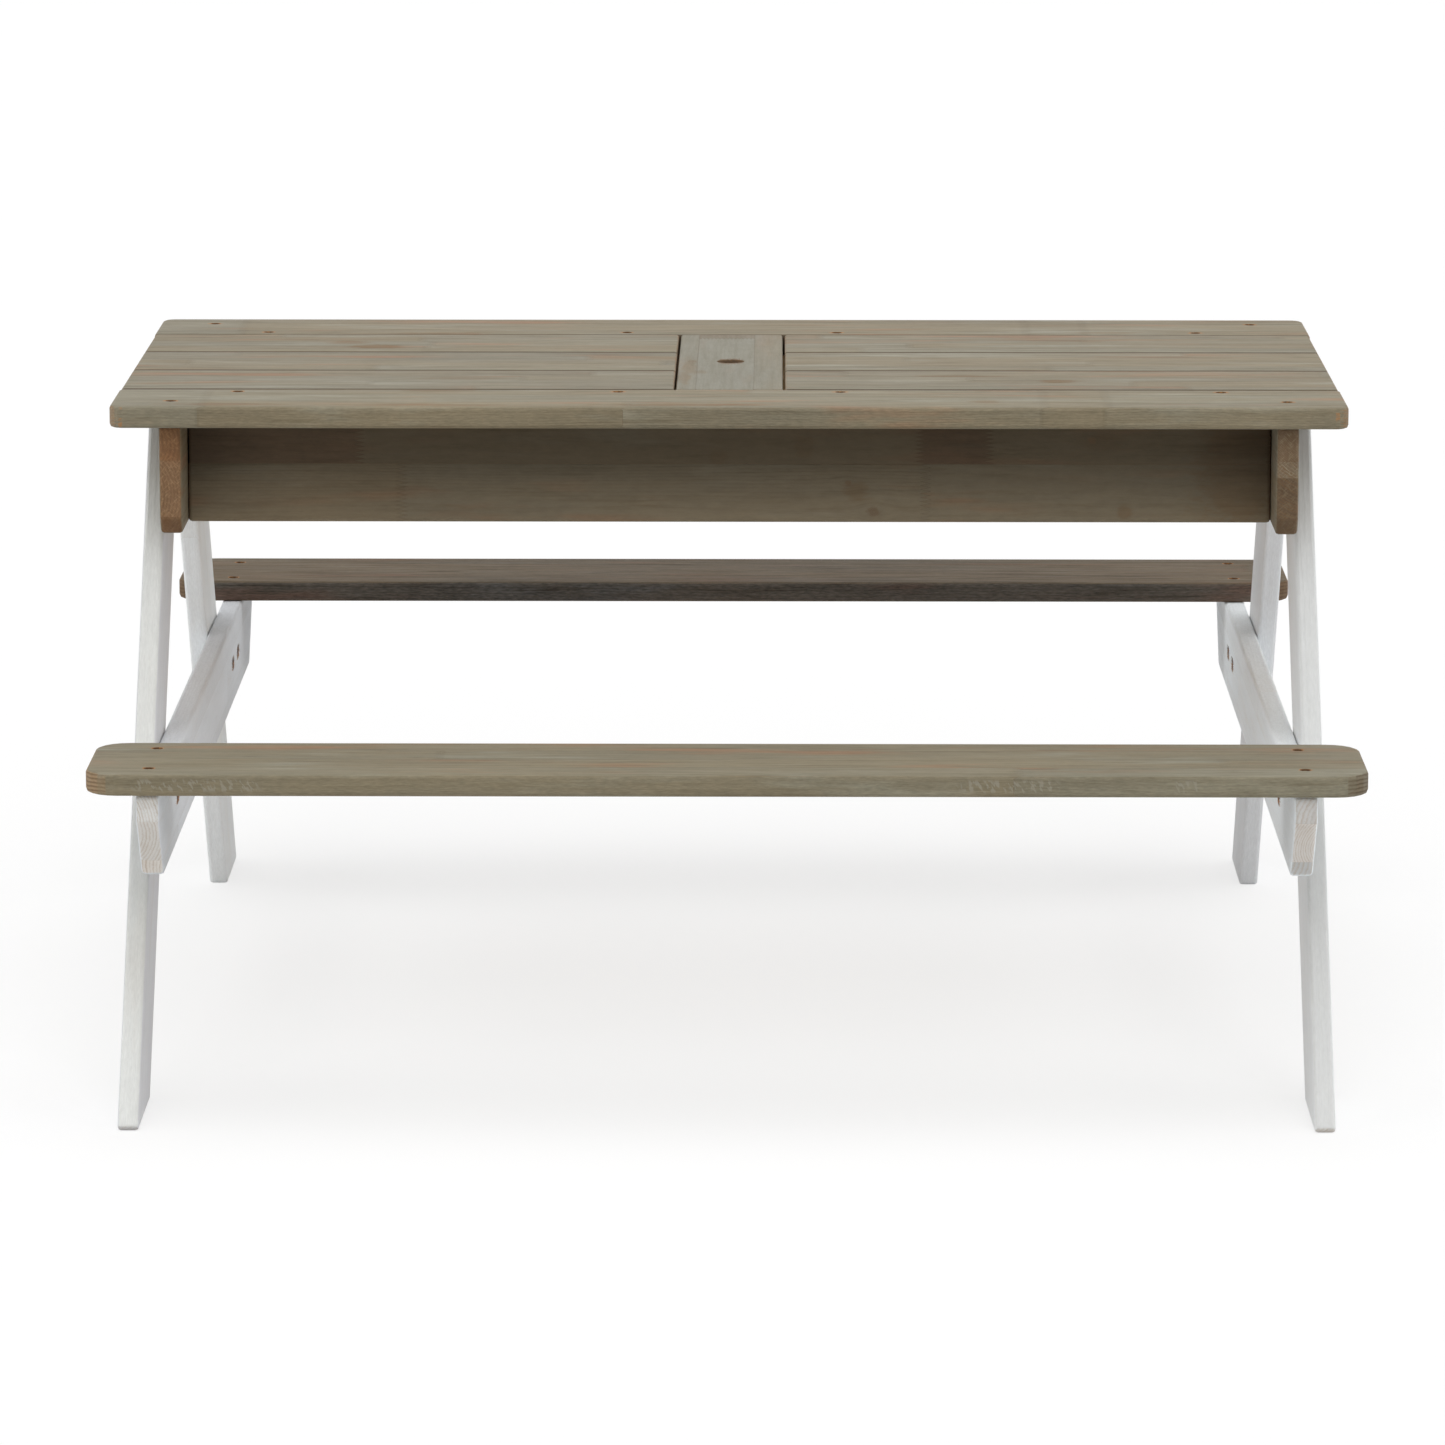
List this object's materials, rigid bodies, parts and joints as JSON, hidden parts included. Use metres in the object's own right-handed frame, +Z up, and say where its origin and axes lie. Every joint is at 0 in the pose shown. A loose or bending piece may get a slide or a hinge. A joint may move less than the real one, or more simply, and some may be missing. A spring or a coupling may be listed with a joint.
{
  "type": "children's picnic table with sandbox",
  "caption": "Children's A-frame picnic table with attached bench seats; plank lids and a centre board with a finger hole lift off a sandbox under the top.",
  "frame": {"origin": "on the floor, under the middle of the table", "axes": "+X to the right along the table and its seats, +Y from the front seat to the back seat, +Z up"},
  "size_m": [1.083, 1.1334, 0.581],
  "materials": {
    "brown_stain": "planed softwood, grey-brown translucent stain, matt",
    "white_stain": "planed softwood, thin white stain, matt",
    "raw_pine": "planed pine battens, unfinished",
    "plywood": "plywood sheet, unfinished",
    "screw_steel": "yellow-zinc wood screws"
  },
  "bodies": {
    "frame": {"front_top_plank": "brown_stain", "back_top_plank": "brown_stain", "front_apron": "brown_stain", "back_apron": "brown_stain", "left_top_crossmember": "brown_stain", "right_top_crossmember": "brown_stain", "front_left_leg": "white_stain", "front_right_leg": "white_stain", "back_left_leg": "white_stain", "back_right_leg": "white_stain", "left_seat_crossmember": "white_stain", "right_seat_crossmember": "white_stain", "front_seat": "brown_stain", "back_seat": "brown_stain", "left_bearer": "raw_pine", "right_bearer": "raw_pine", "front_base_cleat": "raw_pine", "back_base_cleat": "raw_pine", "left_base_cleat": "raw_pine", "right_base_cleat": "raw_pine", "sandbox_base": "plywood", "front_plank_left_end_screw": "screw_steel", "front_plank_right_end_screw": "screw_steel", "back_plank_left_end_screw": "screw_steel", "back_plank_right_end_screw": "screw_steel", "front_plank_apron_screw_1": "screw_steel", "front_plank_apron_screw_2": "screw_steel", "front_plank_apron_screw_3": "screw_steel", "front_plank_apron_screw_4": "screw_steel", "back_plank_apron_screw_1": "screw_steel", "back_plank_apron_screw_2": "screw_steel", "back_plank_apron_screw_3": "screw_steel", "back_plank_apron_screw_4": "screw_steel", "front_seat_left_screw_1": "screw_steel", "front_seat_left_screw_2": "screw_steel", "front_seat_right_screw_1": "screw_steel", "front_seat_right_screw_2": "screw_steel", "back_seat_left_screw_1": "screw_steel", "back_seat_left_screw_2": "screw_steel", "back_seat_right_screw_1": "screw_steel", "back_seat_right_screw_2": "screw_steel", "front_left_leg_screw_1": "screw_steel", "front_left_leg_screw_2": "screw_steel", "front_right_leg_screw_1": "screw_steel", "front_right_leg_screw_2": "screw_steel", "back_left_leg_screw_1": "screw_steel", "back_left_leg_screw_2": "screw_steel", "back_right_leg_screw_1": "screw_steel", "back_right_leg_screw_2": "screw_steel"},
    "left_lid": {"left_lid_plank_1": "brown_stain", "left_lid_plank_2": "brown_stain", "left_lid_plank_3": "brown_stain", "left_lid_inner_batten": "raw_pine", "left_lid_outer_batten": "raw_pine"},
    "right_lid": {"right_lid_plank_1": "brown_stain", "right_lid_plank_2": "brown_stain", "right_lid_plank_3": "brown_stain", "right_lid_inner_batten": "raw_pine", "right_lid_outer_batten": "raw_pine"},
    "centre_board": {"centre_board": "brown_stain"}
  },
  "joints": [
    {"name": "centre_board_lift", "type": "slide", "parent": "frame", "child": "centre_board", "axis": [0, 0, 1], "range_m": [0, 0.2]},
    {"name": "left_lid_lift", "type": "slide", "parent": "frame", "child": "left_lid", "axis": [0, 0, 1], "range_m": [0, 0.2]},
    {"name": "right_lid_lift", "type": "slide", "parent": "frame", "child": "right_lid", "axis": [0, 0, 1], "range_m": [0, 0.2]}
  ]
}
